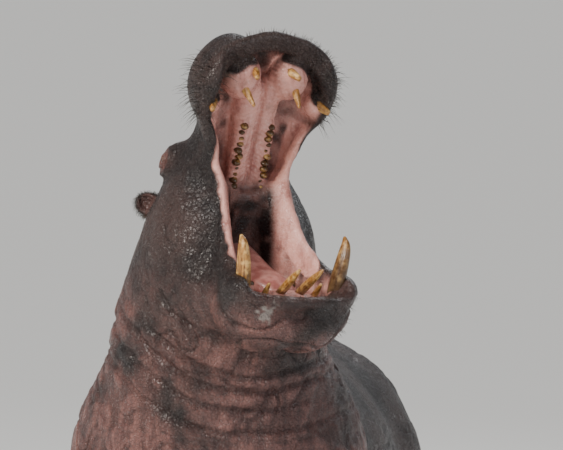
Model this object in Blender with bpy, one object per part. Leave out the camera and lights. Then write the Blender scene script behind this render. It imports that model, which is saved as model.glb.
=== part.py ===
"""A life-size common hippopotamus, a big bull, standing with its head raised, turned to its left and yawning.

It faces -Y with its left side at +X, and its feet are on the floor at Z = 0. Its flesh is one field of
distances, in which masses of muscle and fat run into each other. The field is drawn as a surface piece by
piece, each piece is cut to its own cell with a thin gap to the next, and teeth, eyes, tongue and hooves sit
in sockets of their own.
"""

import math

import bmesh
import bpy
import numpy as np
import openvdb
from mathutils import Matrix, Vector

# Driving dimensions, in metres
GAP = 0.0006  # the thin cut between two pieces of flesh
SOCKET_GAP = 0.0008  # the clearance round a tooth, an eye or a hoof

# Pose of the head: its jaw hinge, and how far the head and each jaw are turned
JAW_HINGE = Vector((0.130, 0.020, 1.950))
HEAD_TURN = math.radians(36)
HEAD_ROLL = math.radians(3)
UPPER_JAW_PITCH = math.radians(73)
LOWER_JAW_PITCH = math.radians(-5)

# How soft the joins between masses are
SOFT = 0.16
FIRM = 0.07
CRISP = 0.03

# For each piece of flesh, the spacing of the grid its surface is read from and about how many triangles it keeps
DETAIL = {
    "head": (0.010, 2300),
    "lower_jaw": (0.010, 1050),
    "ear": (0.005, 300),
    "neck": (0.022, 850),
    "trunk": (0.025, 640),
    "tail": (0.010, 180),
    "leg": (0.012, 190),
}

# Looks of the materials: colour, roughness
HIDE = ((0.105, 0.085, 0.080, 1), 0.45)
THROAT_HIDE = ((0.250, 0.150, 0.125, 1), 0.45)
TONGUE_FLESH = ((0.520, 0.270, 0.250, 1), 0.35)
EYE_WET = ((0.060, 0.035, 0.020, 1), 0.10)
IVORY = ((0.650, 0.400, 0.130, 1), 0.35)
HORN = ((0.070, 0.060, 0.055, 1), 0.50)


class Frame:
    """Axes carried by one jaw: forward along the jaw, left, and up, away from its underside."""

    def __init__(self, origin, turn, pitch):
        ahead = Vector((math.sin(turn), -math.cos(turn), 0))
        aside = Vector((math.cos(turn), math.sin(turn), 0))
        upright = Vector((0, 0, math.cos(HEAD_ROLL))) + aside * math.sin(HEAD_ROLL)
        self.origin = Vector(origin)
        self.forward = ahead * math.cos(pitch) + upright * math.sin(pitch)
        self.left = upright.cross(ahead).normalized()
        self.up = upright * math.cos(pitch) - ahead * math.sin(pitch)
        self.turn = Matrix((self.forward, self.left, self.up)).transposed()

    def place(self, spot):
        """The world point of a spot given as forward, left and up."""
        return self.origin + self.turn @ Vector(spot)

    def local(self, points):
        """World points, as three rows, in this frame."""
        turn = np.array(self.turn, np.float32)
        return turn.T @ (points - np.array(self.origin, np.float32)[:, None])


UPPER = Frame(JAW_HINGE, HEAD_TURN, UPPER_JAW_PITCH)
LOWER = Frame(JAW_HINGE, HEAD_TURN, LOWER_JAW_PITCH)
LEVEL = Frame(JAW_HINGE, HEAD_TURN, 0)


# ---------------------------------------------------------------- distance field


def both_sides(points, across):
    """The points folded onto one side, for a shape that is the same on the left and the right."""
    folded = points.copy()
    folded[across] = np.abs(folded[across])
    return folded


def ball(points, centre, radii):
    """Distance to an egg shape with these three radii."""
    offset = points - np.array(centre, np.float32)[:, None]
    scaled = offset / np.array(radii, np.float32)[:, None]
    size = np.sqrt((scaled**2).sum(0)) + 1e-6
    slope = np.sqrt(((scaled / np.array(radii, np.float32)[:, None]) ** 2).sum(0)) + 1e-6
    return size * (size - 1) / slope


def limb(points, spots, radii):
    """Distance to a chain of rounded lengths through these spots, with a radius at each."""
    found = None
    for start, end, first, last in zip(spots, spots[1:], radii, radii[1:]):
        start = np.array(start, np.float32)[:, None]
        way = np.array(end, np.float32)[:, None] - start
        offset = points - start
        share = np.clip((offset * way).sum(0) / float((way**2).sum()), 0, 1)
        gone = np.sqrt(((offset - way * share) ** 2).sum(0))
        here = gone - (first + (last - first) * share)
        found = here if found is None else join(found, here, 0.02)
    return found


def join(one, other, soft):
    """The two shapes as one, with a fillet about this wide where they meet."""
    near = np.maximum(soft - np.abs(one - other), 0) / soft
    return np.minimum(one, other) - near * near * soft / 4


def carve(shape, tool, soft):
    """The shape without the tool's space, with the edge rounded."""
    return -join(-shape, tool, soft)


def overlap(one, other, soft):
    """What both shapes hold, with the edge rounded."""
    return -join(-one, -other, soft)


def smooth_path(spots, steps=4):
    """Points along one smooth curve through these spots."""
    spots = [np.array(spot, float) for spot in spots]
    ends = [2 * spots[0] - spots[1], *spots, 2 * spots[-1] - spots[-2]]
    made = []
    for a, b, c, d in zip(ends, ends[1:], ends[2:], ends[3:]):
        for step in range(steps):
            t = step / steps
            made.append(
                0.5 * (2 * b + (c - a) * t + (2 * a - 5 * b + 4 * c - d) * t**2
                       + (3 * b - a - 3 * c + d) * t**3)
            )
    return [*made, spots[-1]]


def rope(points, spots):
    """Distance to a smooth roll of flesh. Each spot is forward, left, up and the radius there."""
    path = smooth_path(spots)
    return limb(points, [spot[:3] for spot in path], [float(spot[3]) for spot in path])


# ---------------------------------------------------------------- the masses


def trunk(points):
    """Barrel of the body: deep chest, low belly, broad rump and a back that hardly dips."""
    p = both_sides(points, 0)
    shape = ball(p, (0, 1.24, 0.83), (0.57, 1.02, 0.535))
    shape = join(shape, ball(p, (0, 0.42, 0.92), (0.47, 0.54, 0.50)), SOFT)
    shape = join(shape, ball(p, (0, 1.98, 0.87), (0.47, 0.52, 0.50)), SOFT)
    shape = join(shape, ball(p, (0, 1.15, 1.08), (0.31, 1.15, 0.31)), SOFT)
    shape = join(shape, ball(p, (0.34, 0.44, 0.84), (0.20, 0.29, 0.44)), SOFT)
    return join(shape, ball(p, (0.31, 1.98, 0.76), (0.22, 0.37, 0.44)), SOFT)


def neck(points):
    """Short, very thick neck, drawn up and forward to the back of the head."""
    throat = [
        (0.00, 0.62, 1.05, 0.42),
        (0.02, 0.34, 1.22, 0.41),
        (0.035, 0.19, 1.50, 0.375),
        (0.075, 0.13, 1.76, 0.305),
    ]
    nape = [
        (0.00, 0.80, 1.12, 0.28),
        (0.02, 0.58, 1.33, 0.25),
        (0.04, 0.40, 1.58, 0.21),
        (0.06, 0.25, 1.77, 0.16),
    ]
    return join(rope(points, throat), rope(points, nape), 0.20)


def head_back(points):
    """Skull from the back of the head to the eyes, with the raised sockets of the eyes."""
    p = both_sides(UPPER.local(points), 1)
    shape = ball(p, (0.00, 0, 0.10), (0.22, 0.20, 0.15))
    shape = join(shape, ball(p, (0.10, 0, 0.14), (0.16, 0.17, 0.10)), FIRM)
    shape = join(shape, ball(p, (-0.02, 0.15, 0.07), (0.17, 0.09, 0.12)), FIRM)
    shape = join(shape, ball(p, (-0.10, 0.15, -0.02), (0.17, 0.12, 0.18)), FIRM)
    return join(shape, ball(p, (0.118, 0.163, 0.203), (0.072, 0.050, 0.056)), 0.05)


def muzzle(points):
    """Upper jaw: a broad bridge, two swollen lip pads and the nostrils on their mounds."""
    p = both_sides(UPPER.local(points), 1)
    shape = limb(p, [(0.10, 0.02, 0.095), (0.48, 0.06, 0.080)], [0.130, 0.115])
    shape = join(shape, ball(p, (0.50, 0.110, 0.040), (0.155, 0.125, 0.110)), FIRM)
    shape = join(shape, ball(p, (0.465, 0.170, 0.010), (0.12, 0.082, 0.095)), FIRM)
    shape = join(shape, ball(p, (0.545, 0.075, 0.150), (0.065, 0.045, 0.042)), 0.04)
    lip = [
        (0.24, 0.128, -0.015, 0.024),
        (0.33, 0.168, -0.030, 0.027),
        (0.42, 0.222, -0.055, 0.030),
        (0.52, 0.222, -0.070, 0.036),
        (0.605, 0.150, -0.065, 0.042),
        (0.645, 0.000, -0.050, 0.044),
    ]
    shape = join(shape, rope(p, lip), 0.06)
    slit = [(0.525, 0.082, 0.188, 0.006), (0.555, 0.064, 0.196, 0.010), (0.585, 0.056, 0.180, 0.006)]
    return carve(shape, rope(p, slit), 0.012)


def jaw(points):
    """Lower jaw: heavy angle, broad chin, the bulges that hold the tusks and the lower lip."""
    p = both_sides(LOWER.local(points), 1)
    shape = limb(p, [(0.02, 0.11, -0.22), (0.40, 0.09, -0.31)], [0.15, 0.105])
    shape = join(shape, ball(p, (0.40, 0.05, -0.31), (0.165, 0.155, 0.115)), FIRM)
    shape = join(shape, ball(p, (0.43, 0.160, -0.265), (0.105, 0.075, 0.090)), FIRM)
    shape = join(shape, ball(p, (-0.04, 0.15, -0.22), (0.19, 0.09, 0.22)), FIRM)
    lip = [
        (0.20, 0.132, -0.150, 0.026),
        (0.31, 0.168, -0.172, 0.029),
        (0.41, 0.212, -0.188, 0.034),
        (0.49, 0.205, -0.203, 0.037),
        (0.555, 0.120, -0.215, 0.037),
        (0.572, 0.000, -0.220, 0.037),
    ]
    return join(shape, rope(p, lip), 0.05)


# The free edge of a cheek, from the upper lip's corner to the lower one's: forward, left, up, radius
CHEEK_EDGE = [
    (0.135, 0.148, 0.310, 0.026),
    (0.105, 0.116, 0.170, 0.026),
    (0.140, 0.118, 0.040, 0.028),
    (0.215, 0.134, -0.080, 0.028),
    (0.300, 0.155, -0.165, 0.028),
]
THROAT_HALF_WIDTH = 0.035


def cheeks(points):
    """Skin and muscle stretched between the jaws, thickest at the hinge, with a rounded free edge."""
    p = both_sides(LEVEL.local(points), 1)
    shape = ball(p, (-0.03, 0.095, -0.05), (0.12, 0.065, 0.24))
    return join(shape, rope(p, CHEEK_EDGE), 0.08)


def between_cheeks(points):
    """Funnel between the cheeks, open in front and narrow at the throat."""
    p = both_sides(LEVEL.local(points), 1)
    rising = CHEEK_EDGE[::-1]
    heights = [spot[2] for spot in rising]
    reach = np.interp(p[2], heights, [spot[0] for spot in rising])
    mouth_half = np.interp(p[2], heights, [spot[1] - spot[3] for spot in rising])
    share = np.clip(p[0] / reach, 0, 1.9)
    return p[1] - (THROAT_HALF_WIDTH + (mouth_half - THROAT_HALF_WIDTH) * share)


def mouth(points):
    """Space between the jaws: under the palate, over the floor of the lower jaw and inside the cheeks."""
    high = both_sides(UPPER.local(points), 1)
    low = both_sides(LOWER.local(points), 1)
    under_palate = high[2] - 0.030 + 1.6 * high[1] ** 2
    over_floor = -(low[2] + 0.250)
    wedge = overlap(overlap(under_palate, over_floor, 0.08), between_cheeks(points), 0.03)
    front_room = ball(high, (0.44, 0, -0.05), (0.175, 0.208, 0.50))
    back_room = ball(high, (0.30, 0, -0.05), (0.20, 0.140, 0.50))
    upper_tray = overlap(join(front_room, back_room, 0.05), under_palate, 0.03)
    upper_tray = overlap(upper_tray, -(high[2] + 0.25), 0.02)
    inside_lower_lip = ball(low, (0.30, 0, -0.16), (0.245, 0.182, 0.50))
    lower_tray = overlap(inside_lower_lip, wedge, 0.03)
    between = np.maximum(high[2] + 0.075, -(low[2] + 0.20))
    return join(join(upper_tray, lower_tray, 0.03), overlap(wedge, between, 0.05), 0.03)


def palate(points):
    """Hard palate between two rows of cheek teeth, with swollen gums round the front teeth."""
    p = both_sides(UPPER.local(points), 1)
    shape = limb(p, [(0.08, 0.015, 0.025), (0.46, 0.03, 0.020)], [0.055, 0.062])
    shape = join(shape, ball(p, (0.525, 0.095, -0.020), (0.085, 0.070, 0.075)), 0.025)
    shape = join(shape, ball(p, (0.43, 0.205, -0.030), (0.045, 0.038, 0.055)), 0.025)
    for place in range(7):
        ahead = 0.06 + 0.045 * place
        tooth = ball(p, (ahead, 0.055, -0.030), (0.021, 0.019, 0.028))
        shape = join(shape, tooth, 0.012)
    return shape


def jaw_floor(points):
    """Gums of the lower jaw: a shelf under the front teeth and a row of cheek teeth each side."""
    p = both_sides(LOWER.local(points), 1)
    shape = ball(p, (0.43, 0.0, -0.265), (0.10, 0.15, 0.055))
    for place in range(6):
        ahead = 0.08 + 0.046 * place
        tooth = ball(p, (ahead, 0.080, -0.225), (0.022, 0.018, 0.035))
        shape = join(shape, tooth, 0.012)
    return shape


EAR_ROOT = Vector((-0.080, 0.165, 0.190))
EAR_AXIS = Vector((0.25, 0.75, 0.60)).normalized()
EAR_FACE = Vector((0.30, 0.35, -0.85))
EAR_BASE = 0.035  # how far out along its axis an ear is parted from the head


def ear_axes():
    """An ear's own axes in the head's frame: out along it, across it, and the way that its cup faces."""
    across = EAR_FACE.cross(EAR_AXIS).normalized()
    return Matrix((EAR_AXIS, across, EAR_AXIS.cross(across)))


def ear(points):
    """Small round ear on a short stalk, cupped towards the front."""
    p = both_sides(UPPER.local(points), 1)
    middle = EAR_ROOT + EAR_AXIS * 0.075
    q = np.array(ear_axes(), np.float32) @ (p - np.array(middle, np.float32)[:, None])
    leaf = ball(q, (0, 0, 0), (0.054, 0.043, 0.026))
    cup = ball(q, (0.006, 0, 0.026), (0.044, 0.032, 0.026))
    stalk = limb(p, [tuple(EAR_ROOT), tuple(EAR_ROOT + EAR_AXIS * 0.04)], [0.034, 0.026])
    return join(carve(leaf, cup, 0.008), stalk, 0.02)


# Each leg's foot, and how far it steps forward or back from the other one of its pair
FORE_FOOT = (0.385, 0.42)
HIND_FOOT = (0.355, 1.99)
FORE_STEP = {1: -0.06, -1: 0.05}
HIND_STEP = {1: 0.05, -1: -0.07}
TOE_ANGLES = [math.radians(turn) for turn in (-63, -22, 22, 63)]
TOE_REACH = 0.125
FOOT_RADIUS = 0.140


def heel(front, side):
    """The middle of a foot on the floor."""
    spot, step = (FORE_FOOT, FORE_STEP) if front else (HIND_FOOT, HIND_STEP)
    return spot[0] * side, spot[1] + step[side]


def toe_spot(middle, angle, reach, height):
    """A point this far from the foot's middle, towards the toe at this angle off straight ahead."""
    return (middle[0] + math.sin(angle) * reach, middle[1] - math.cos(angle) * reach, height)


def foot(points, middle):
    """Foot: a thick pad and four toes spread round its front."""
    shape = ball(points, (*middle, 0.055), (FOOT_RADIUS, FOOT_RADIUS, 0.12))
    for angle in TOE_ANGLES:
        knuckle = toe_spot(middle, angle, 0.055, 0.105)
        tip = toe_spot(middle, angle, TOE_REACH, 0.042)
        shape = join(shape, limb(points, [knuckle, tip], [0.060, 0.046]), 0.025)
    return shape


def fore_leg(points, side):
    """Column of the fore leg, from the elbow to a broad foot with four toes."""
    x, y = heel(True, side)
    spots = [
        (0.34 * side, 0.43, 0.78, 0.22),
        (0.37 * side, 0.5 * (0.46 + y), 0.50, 0.175),
        (x, y + 0.02, 0.22, 0.138),
    ]
    return join(rope(points, spots), foot(points, (x, y)), 0.05)


def hind_leg(points, side):
    """Hind leg, with a heavy thigh and a low hock."""
    x, y = heel(False, side)
    spots = [
        (0.31 * side, 1.96, 0.80, 0.26),
        (0.35 * side, 0.5 * (1.88 + y), 0.52, 0.190),
        (x, y + 0.07, 0.28, 0.132),
        (x, y + 0.03, 0.14, 0.130),
    ]
    return join(rope(points, spots), foot(points, (x, y)), 0.05)


TAIL = [
    (0.0, 2.420, 1.160, 0.062),
    (0.0, 2.520, 1.080, 0.047),
    (0.0, 2.565, 0.950, 0.037),
    (0.0, 2.580, 0.810, 0.027),
    (0.0, 2.590, 0.720, 0.016),
]


def flesh(points):
    """The whole animal's flesh as one field, negative inside. It reaches a little below the floor."""
    shape = join(trunk(points), neck(points), 0.22)
    head = join(join(head_back(points), muzzle(points), FIRM), jaw(points), FIRM)
    head = join(head, cheeks(points), FIRM)
    head = carve(head, mouth(points), CRISP)
    shape = carve(join(shape, head, 0.12), mouth(points), CRISP)
    shape = join(shape, palate(points), 0.02)
    shape = join(shape, jaw_floor(points), 0.02)
    shape = join(shape, ear(points), 0.025)
    for side in (1, -1):
        shape = join(shape, fore_leg(points, side), 0.10)
        shape = join(shape, hind_leg(points, side), 0.10)
    return join(shape, rope(points, TAIL), 0.05)


# ---------------------------------------------------------------- objects and materials


def material(name, look):
    made = bpy.data.materials.new(name)
    made.use_nodes = True
    shader = made.node_tree.nodes["Principled BSDF"]
    shader.inputs["Base Color"].default_value, shader.inputs["Roughness"].default_value = look
    shader.inputs["Metallic"].default_value = 0
    return made


def add_object(name, mesh, look=None):
    """A mesh as an object in the scene. Without a look it is a cutter."""
    made = bpy.data.objects.new(name, mesh)
    bpy.context.scene.collection.objects.link(made)
    if look:
        mesh.materials.append(material(name, look))
        return made
    made.hide_render = True
    made.display_type = "WIRE"
    return made


def mesh_from(name, points, faces):
    mesh = bpy.data.meshes.new(name)
    mesh.from_pydata([tuple(point) for point in points], [], [tuple(face) for face in faces])
    mesh.shade_smooth()
    return mesh


def surface(name, field, low, high, voxel):
    """The surface of a field inside a box, sampled on a grid of this spacing."""
    low = np.array(low)
    counts = np.ceil((np.array(high) - low) / voxel).astype(int)
    axes = [(low[i] + voxel * np.arange(counts[i])).astype(np.float32) for i in range(3)]
    points = np.stack([grid.ravel() for grid in np.meshgrid(*axes, indexing="ij")])
    band = 3 * voxel
    values = np.clip(field(points).reshape(counts), -band, band)
    for axis in range(3):
        values[(slice(None),) * axis + (0,)] = band
        values[(slice(None),) * axis + (-1,)] = band
    grid = openvdb.FloatGrid(band)
    grid.copyFromArray(values)
    found, triangles, quads = grid.convertToPolygons(0.0, 0.0)
    return mesh_from(name, found * voxel + low, [*quads.tolist(), *triangles.tolist()])


def convex(name, points):
    """The closed skin stretched over these points, as a cutter."""
    shape = bmesh.new()
    for point in points:
        shape.verts.new(point)
    bmesh.ops.convex_hull(shape, input=shape.verts)
    mesh = bpy.data.meshes.new(name)
    shape.to_mesh(mesh)
    shape.free()
    return add_object(name, mesh)


def slab(name, origin, normal, gap, reach=6.0):
    """A big block on the far side of a plane, standing off it by the gap."""
    normal = Vector(normal).normalized()
    across = normal.orthogonal().normalized()
    along = normal.cross(across)
    corners = []
    for near in (gap, reach):
        for sign in ((1, 1), (1, -1), (-1, 1), (-1, -1)):
            corners.append(
                Vector(origin) + normal * near + across * sign[0] * reach + along * sign[1] * reach
            )
    return convex(name, corners)


def column(name, middle, levels, grow):
    """A closed upright column of oval rings: height, half-width and half-length at each level."""
    points = []
    for height, half_width, half_length in levels:
        for step in range(16):
            turn = math.tau * step / 16
            points.append(
                (
                    middle[0] + math.cos(turn) * (half_width + grow),
                    middle[1] + math.sin(turn) * (half_length + grow),
                    height + (grow if height > 0 else -grow),
                )
            )
    return convex(name, points)


def sweep(name, spots, broad, sides, grow=0.0, look=None):
    """A closed solid of oval rings along a smooth path, for a tooth or a tongue.

    Each spot is a world point, the half-width along the broad way, and the half-thickness across it.
    """
    rows = smooth_path([(*point, wide, thick) for point, wide, thick in spots], 2)
    centres = [Vector(row[:3]) for row in rows]
    centres[0] -= (centres[1] - centres[0]).normalized() * grow
    centres[-1] += (centres[-1] - centres[-2]).normalized() * grow
    points = []
    for place, row in enumerate(rows):
        before, after = centres[max(place - 1, 0)], centres[min(place + 1, len(rows) - 1)]
        ahead = (after - before).normalized()
        thin_way = ahead.cross(broad).normalized()
        broad_way = thin_way.cross(ahead)
        for step in range(sides):
            turn = math.tau * step / sides
            points.append(
                centres[place]
                + broad_way * math.cos(turn) * (row[3] + grow)
                + thin_way * math.sin(turn) * (row[4] + grow)
            )
    faces = [[*range(sides)][::-1], [*range(sides * (len(rows) - 1), sides * len(rows))]]
    for row in range(len(rows) - 1):
        for step in range(sides):
            a, b = row * sides + step, row * sides + (step + 1) % sides
            faces += [(a, b, b + sides), (a, b + sides, a + sides)]
    mesh = mesh_from(name, points, faces)
    shape = bmesh.new()
    shape.from_mesh(mesh)
    bmesh.ops.recalc_face_normals(shape, faces=shape.faces)
    shape.to_mesh(mesh)
    shape.free()
    return add_object(name, mesh, look)


def oval(name, middle, radii, turn, rings, sides, grow=0.0, look=None):
    """An egg shape, for an eye or a hoof."""
    shape = bmesh.new()
    bmesh.ops.create_uvsphere(shape, u_segments=sides, v_segments=rings, radius=1)
    sizes = Matrix.Diagonal([radius + grow for radius in radii])
    bmesh.ops.transform(
        shape, matrix=Matrix.Translation(middle) @ (turn @ sizes).to_4x4(), verts=shape.verts
    )
    mesh = bpy.data.meshes.new(name)
    shape.to_mesh(mesh)
    shape.free()
    mesh.shade_smooth()
    return add_object(name, mesh, look)


def thin_out(made, faces):
    """Leaves about this many triangles."""
    modifier = made.modifiers.new("thin out", "DECIMATE")
    triangles = sum(len(face.vertices) - 2 for face in made.data.polygons)
    modifier.ratio = min(1.0, faces / triangles)


def cut(made, operation, cutter):
    modifier = made.modifiers.new(cutter.name, "BOOLEAN")
    modifier.operation = operation
    modifier.solver = "EXACT"
    modifier.object = cutter


# ---------------------------------------------------------------- pieces set into the flesh

# Teeth, as forward, left, up, half-width and half-thickness from root to tip, for the left side
LOWER_TUSK = [
    (0.440, 0.178, -0.300, 0.036, 0.024),
    (0.450, 0.184, -0.200, 0.038, 0.024),
    (0.462, 0.194, -0.110, 0.034, 0.021),
    (0.462, 0.202, -0.050, 0.024, 0.016),
    (0.446, 0.205, -0.015, 0.007, 0.005),
]
LOWER_INNER_INCISOR = [
    (0.400, 0.036, -0.262, 0.017, 0.015),
    (0.470, 0.038, -0.205, 0.016, 0.015),
    (0.545, 0.042, -0.150, 0.014, 0.012),
    (0.600, 0.045, -0.112, 0.005, 0.004),
]
LOWER_OUTER_INCISOR = [
    (0.420, 0.096, -0.255, 0.012, 0.011),
    (0.465, 0.100, -0.210, 0.011, 0.010),
    (0.492, 0.103, -0.178, 0.006, 0.005),
]
UPPER_INNER_INCISOR = [
    (0.560, 0.066, -0.030, 0.016, 0.014),
    (0.558, 0.074, -0.085, 0.016, 0.014),
    (0.552, 0.084, -0.125, 0.010, 0.008),
]
UPPER_OUTER_INCISOR = [
    (0.510, 0.106, -0.020, 0.016, 0.013),
    (0.490, 0.100, -0.085, 0.016, 0.013),
    (0.455, 0.090, -0.150, 0.006, 0.005),
]
UPPER_TUSK = [
    (0.445, 0.190, 0.000, 0.024, 0.020),
    (0.440, 0.208, -0.060, 0.023, 0.019),
    (0.425, 0.232, -0.115, 0.010, 0.008),
]
TONGUE = [
    (0.000, 0.0, -0.120, 0.055, 0.030),
    (0.050, 0.0, -0.150, 0.070, 0.050),
    (0.200, 0.0, -0.205, 0.085, 0.052),
    (0.330, 0.0, -0.218, 0.080, 0.042),
    (0.400, 0.0, -0.228, 0.045, 0.022),
]
EYE_SPOT = (0.112, 0.189, 0.206)
EYE_RADIUS = 0.031
HOOF_RADII = (0.038, 0.026, 0.041)
HOOF_HEIGHT = 0.045
HOOF_REACH = TOE_REACH + 0.034
TEETH = [
    ("tusk_lower", LOWER, LOWER_TUSK, 8),
    ("incisor_lower_inner", LOWER, LOWER_INNER_INCISOR, 6),
    ("incisor_lower_outer", LOWER, LOWER_OUTER_INCISOR, 6),
    ("incisor_upper_inner", UPPER, UPPER_INNER_INCISOR, 6),
    ("incisor_upper_outer", UPPER, UPPER_OUTER_INCISOR, 6),
    ("tusk_upper", UPPER, UPPER_TUSK, 6),
]
SIDES = {"left": 1, "right": -1}


def add_teeth(hosts):
    for name, jaw_frame, spots, sides in TEETH:
        for word, side in SIDES.items():
            placed = [
                (jaw_frame.place((ahead, aside * side, high)), wide, thick)
                for ahead, aside, high, wide, thick in spots
            ]
            title = f"{name}_{word}"
            sweep(title, placed, jaw_frame.forward, sides, 0.0, IVORY)
            socket = sweep(f"{title} socket", placed, jaw_frame.forward, sides, SOCKET_GAP)
            cut(hosts[jaw_frame], "DIFFERENCE", socket)


def add_tongue(hosts):
    placed = [(LOWER.place(spot[:3]), spot[3], spot[4]) for spot in TONGUE]
    sweep("tongue", placed, LOWER.left, 10, 0.0, TONGUE_FLESH)
    socket = sweep("tongue socket", placed, LOWER.left, 10, SOCKET_GAP)
    for host in hosts:
        cut(host, "DIFFERENCE", socket)


def add_eyes(head):
    for word, side in SIDES.items():
        middle = UPPER.place((EYE_SPOT[0], EYE_SPOT[1] * side, EYE_SPOT[2]))
        radii = (EYE_RADIUS,) * 3
        oval(f"eye_{word}", middle, radii, UPPER.turn, 6, 10, 0.0, EYE_WET)
        socket = oval(f"eye {word} socket", middle, radii, UPPER.turn, 6, 10, SOCKET_GAP)
        cut(head, "DIFFERENCE", socket)


def add_hooves(leg, pair, word, middle):
    """Four broad nails round the front of a foot."""
    for toe, angle in enumerate(TOE_ANGLES, 1):
        spot = toe_spot(middle, angle, HOOF_REACH, HOOF_HEIGHT)
        turn = Matrix.Rotation(angle, 3, "Z")
        title = f"hoof_{pair}_{word}_{toe}"
        oval(title, spot, HOOF_RADII, turn, 4, 6, 0.0, HORN)
        cut(leg, "DIFFERENCE", oval(f"{title} socket", spot, HOOF_RADII, turn, 4, 6, SOCKET_GAP))


# ---------------------------------------------------------------- pieces of flesh

# Planes that part the flesh: a point on each, and the way that it faces
GAPE_MIDDLE = math.radians(20)
HEAD_FROM_JAW = (JAW_HINGE, LEVEL.up * math.cos(GAPE_MIDDLE) - LEVEL.forward * math.sin(GAPE_MIDDLE))
HEAD_FROM_NECK = (LEVEL.place((-0.153, 0, -0.210)), LEVEL.forward * 0.588 + LEVEL.up * 0.809)
NECK_FROM_TRUNK = (Vector((0, 0.55, 1.414)), Vector((0, -0.5, 0.866)))
TAIL_FROM_TRUNK = (Vector((0, 2.428, 1.19)), Vector((0, 0.973, 0.23)))

# Outline of the block of flesh that goes with a leg: height, half-width, half-length
FORE_COLUMN = [(-0.1, 0.30, 0.30), (0.30, 0.28, 0.29), (0.50, 0.23, 0.25), (0.66, 0.15, 0.16)]
HIND_COLUMN = [(-0.1, 0.30, 0.32), (0.30, 0.28, 0.31), (0.55, 0.25, 0.28), (0.76, 0.15, 0.18)]


def flesh_piece(name, look, low, high, detail):
    """The flesh inside a box, as an object still to be cut to its cell."""
    voxel, faces = DETAIL[detail]
    made = add_object(name, surface(name, flesh, low, high, voxel), look)
    thin_out(made, faces)
    return made


def facing(plane, gap=GAP / 2):
    """The block in front of a plane."""
    return slab("in front", *plane, gap)


def behind(plane, gap=GAP / 2):
    """The block behind a plane."""
    return slab("behind", plane[0], -plane[1], gap)


def add_head_pieces():
    """The head and the lower jaw, parted through the hinge and across the back of the head."""
    x, y, z = JAW_HINGE
    head_box = (x - 0.42, y - 0.45, z - 0.32), (x + 0.46, y + 0.45, z + 0.72)
    jaw_box = (x - 0.36, y - 0.66, z - 0.56), (x + 0.62, y + 0.56, z + 0.26)
    head = flesh_piece("head", HIDE, *head_box, "head")
    jaw_piece = flesh_piece("lower_jaw", HIDE, *jaw_box, "lower_jaw")
    cut(head, "INTERSECT", facing(HEAD_FROM_NECK))
    cut(head, "INTERSECT", facing(HEAD_FROM_JAW))
    cut(jaw_piece, "INTERSECT", facing(HEAD_FROM_NECK))
    cut(jaw_piece, "INTERSECT", behind(HEAD_FROM_JAW))
    return head, jaw_piece


def ear_block(name, side, shrink):
    """The block of flesh that goes with an ear, standing on the ear's root."""
    axes = ear_axes().transposed()
    corners = []
    for reach in (EAR_BASE + shrink, EAR_BASE + 0.11):
        for aside in (-0.060 + shrink, 0.060 - shrink):
            for deep in (-0.045 + shrink, 0.045 - shrink):
                spot = EAR_ROOT + axes @ Vector((reach, aside, deep))
                corners.append(UPPER.place((spot.x, spot.y * side, spot.z)))
    return convex(name, corners)


def add_ears(head):
    half_box = 0.17
    for word, side in SIDES.items():
        cut(head, "DIFFERENCE", ear_block(f"ear {word} room", side, 0))
        middle = UPPER.place((EAR_ROOT.x, EAR_ROOT.y * side, EAR_ROOT.z))
        low = [value - half_box for value in middle]
        high = [value + half_box for value in middle]
        made = flesh_piece(f"ear_{word}", HIDE, low, high, "ear")
        cut(made, "INTERSECT", ear_block(f"ear {word} cell", side, GAP))


def add_legs(trunk_piece):
    """Four legs, each cut from the trunk by a column standing between its foot and the joint above."""
    for pair, home, levels in (("fore", FORE_FOOT, FORE_COLUMN), ("hind", HIND_FOOT, HIND_COLUMN)):
        for word, side in SIDES.items():
            x, y = heel(pair == "fore", side)
            middle = (x * 0.97, (y + home[1]) / 2)
            low = (middle[0] - 0.34, middle[1] - 0.36, -0.10)
            high = (middle[0] + 0.34, middle[1] + 0.36, levels[-1][0] + 0.06)
            leg = flesh_piece(f"leg_{pair}_{word}", HIDE, low, high, "leg")
            cut(leg, "INTERSECT", column(f"{pair} {word} cell", middle, levels, 0))
            cut(leg, "INTERSECT", slab("floor", (0, 0, 0), (0, 0, 1), 0))
            cut(trunk_piece, "DIFFERENCE", column(f"{pair} {word} room", middle, levels, GAP))
            add_hooves(leg, pair, word, (x, y))


def tail_block(name, gap):
    """The block of flesh that goes with the tail, behind the plane at its root."""
    origin, normal = TAIL_FROM_TRUNK
    down = Vector((0, normal.z, -normal.y))
    corners = [
        origin + Vector((across, 0, 0)) + down * along + normal * away
        for across in (-0.14, 0.14)
        for along in (-0.14, 0.56)
        for away in (gap, 0.30)
    ]
    return convex(name, corners)


def add_body():
    """The neck, the trunk and the tail."""
    neck_piece = flesh_piece("neck", THROAT_HIDE, (-0.60, -0.55, 0.70), (0.62, 1.00, 2.30), "neck")
    cut(neck_piece, "INTERSECT", behind(HEAD_FROM_NECK))
    cut(neck_piece, "INTERSECT", facing(NECK_FROM_TRUNK))
    trunk_piece = flesh_piece("trunk", HIDE, (-0.72, -0.45, 0.15), (0.72, 2.80, 1.80), "trunk")
    cut(trunk_piece, "INTERSECT", behind(NECK_FROM_TRUNK))
    cut(trunk_piece, "DIFFERENCE", tail_block("tail room", 0))
    tail_piece = flesh_piece("tail", HIDE, (-0.14, 2.30, 0.62), (0.14, 2.72, 1.36), "tail")
    cut(tail_piece, "INTERSECT", tail_block("tail cell", GAP))
    return neck_piece, trunk_piece


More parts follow.
